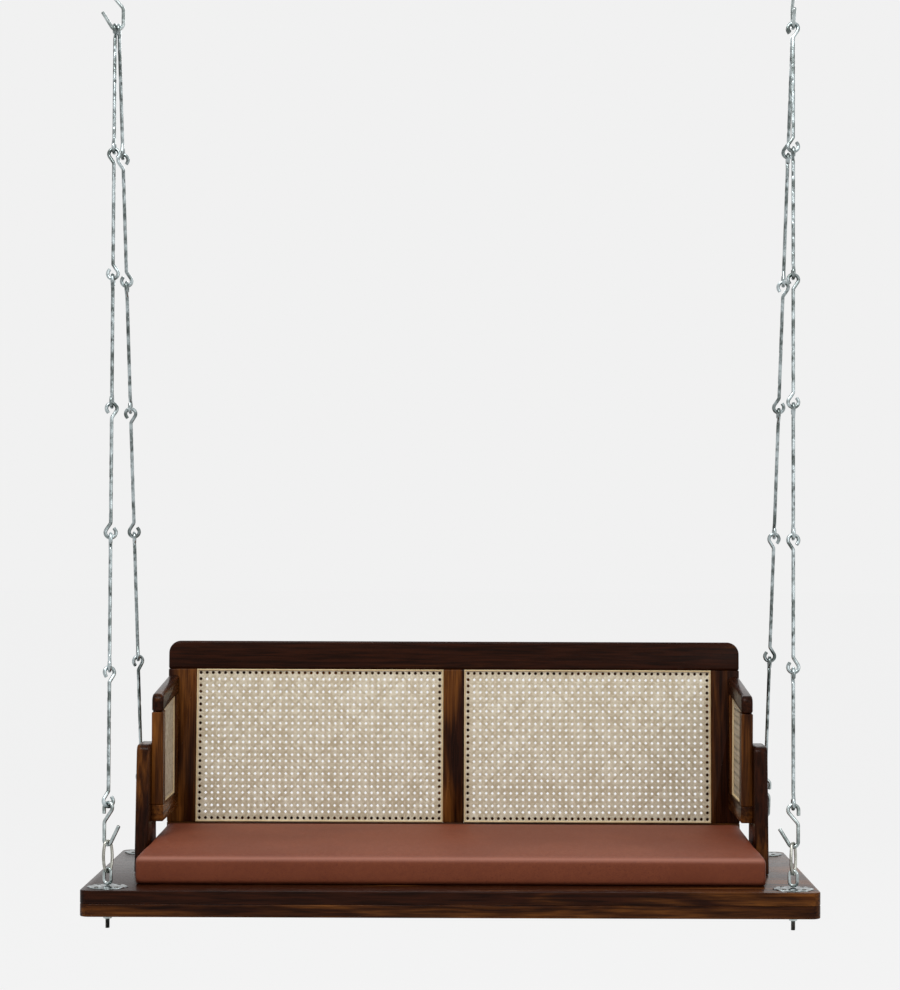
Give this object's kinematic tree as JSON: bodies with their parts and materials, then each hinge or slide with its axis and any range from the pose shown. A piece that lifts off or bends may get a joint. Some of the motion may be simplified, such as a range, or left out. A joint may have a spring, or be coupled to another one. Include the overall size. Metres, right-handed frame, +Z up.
{
  "type": "hanging swing bench",
  "caption": "Indoor swing bench: cane-panelled wooden back and arms and a leatherette cushion, hung on chains of hooked steel rods from a pair of ceiling hooks.",
  "frame": {"origin": "on the ceiling's face, halfway between the two ceiling studs", "axes": "+Z up out of the ceiling's face along the studs, +X along the seat to the right as seen from the front, the seat faces -Y"},
  "size_m": [1.3351, 0.6113, 1.8607],
  "materials": {
    "wood": "dark gloss lacquer",
    "cane": "woven cane, satin",
    "zinc_steel": "bright zinc plate",
    "leatherette": "brown leatherette, satin"
  },
  "bodies": {
    "ceiling_hooks": {"left_ceiling_hook": "zinc_steel", "right_ceiling_hook": "zinc_steel", "ceiling_cover_plates": "zinc_steel"},
    "top_hooks": {"left_top_s_hook": "zinc_steel", "right_top_s_hook": "zinc_steel"},
    "left_chains": {"left_front_rod_1": "zinc_steel", "left_front_rod_2": "zinc_steel", "left_front_rod_3": "zinc_steel", "left_front_rod_4": "zinc_steel", "left_front_rod_5": "zinc_steel", "left_front_rod_6": "zinc_steel", "left_rear_rod_1": "zinc_steel", "left_rear_rod_2": "zinc_steel", "left_rear_rod_3": "zinc_steel", "left_rear_rod_4": "zinc_steel", "left_rear_rod_5": "zinc_steel", "left_rear_rod_6": "zinc_steel", "left_low_s_hooks": "zinc_steel", "left_rings": "zinc_steel"},
    "right_chains": {"right_front_rod_1": "zinc_steel", "right_front_rod_2": "zinc_steel", "right_front_rod_3": "zinc_steel", "right_front_rod_4": "zinc_steel", "right_front_rod_5": "zinc_steel", "right_front_rod_6": "zinc_steel", "right_rear_rod_1": "zinc_steel", "right_rear_rod_2": "zinc_steel", "right_rear_rod_3": "zinc_steel", "right_rear_rod_4": "zinc_steel", "right_rear_rod_5": "zinc_steel", "right_rear_rod_6": "zinc_steel", "right_low_s_hooks": "zinc_steel", "right_rings": "zinc_steel"},
    "bench": {"seat_board": "wood", "seat_skirt": "wood", "seat_cross_rail": "wood", "left_post": "wood", "right_post": "wood", "back_top_rail": "wood", "back_low_rail": "wood", "back_left_stile": "wood", "back_right_stile": "wood", "back_mid_stile": "wood", "left_arm_top_rail": "wood", "left_arm_low_rail": "wood", "left_arm_stiles": "wood", "right_arm_top_rail": "wood", "right_arm_low_rail": "wood", "right_arm_stiles": "wood", "back_left_cane": "cane", "back_right_cane": "cane", "left_arm_cane": "cane", "right_arm_cane": "cane", "cane_beads": "cane", "eye_bolts": "zinc_steel", "eye_plates": "zinc_steel", "eye_washers": "zinc_steel", "eye_nuts": "zinc_steel"},
    "cushion": {"cushion": "leatherette"}
  },
  "joints": [
    {"name": "swing", "type": "hinge", "parent": "ceiling_hooks", "child": "top_hooks", "pos_m": [0, 0, -0.06], "axis": [1, 0, 0], "range_deg": [-25, 25]},
    {"name": "left_sway", "type": "hinge", "parent": "top_hooks", "child": "left_chains", "pos_m": [-0.643, 0, -0.1264], "axis": [0, 1, 0], "range_deg": [-6, 6]},
    {"name": "right_sway", "type": "hinge", "parent": "top_hooks", "child": "right_chains", "pos_m": [0.643, 0, -0.12697], "axis": [0, 1, 0], "range_deg": [-6.12, 6.12]},
    {"name": "bench_sway", "type": "hinge", "parent": "left_chains", "child": "bench", "pos_m": [-0.615, 0, -1.701], "axis": [0, 1, 0], "range_deg": [-6.36, 6.36]},
    {"name": "cushion_pull", "type": "slide", "parent": "bench", "child": "cushion", "axis": [0, -1, 0], "range_m": [0, 0.5]}
  ],
  "couplings": [
    {"joint": "right_sway", "follows": "left_sway", "ratio": 1.0004},
    {"joint": "bench_sway", "follows": "left_sway", "ratio": -1.0455}
  ]
}
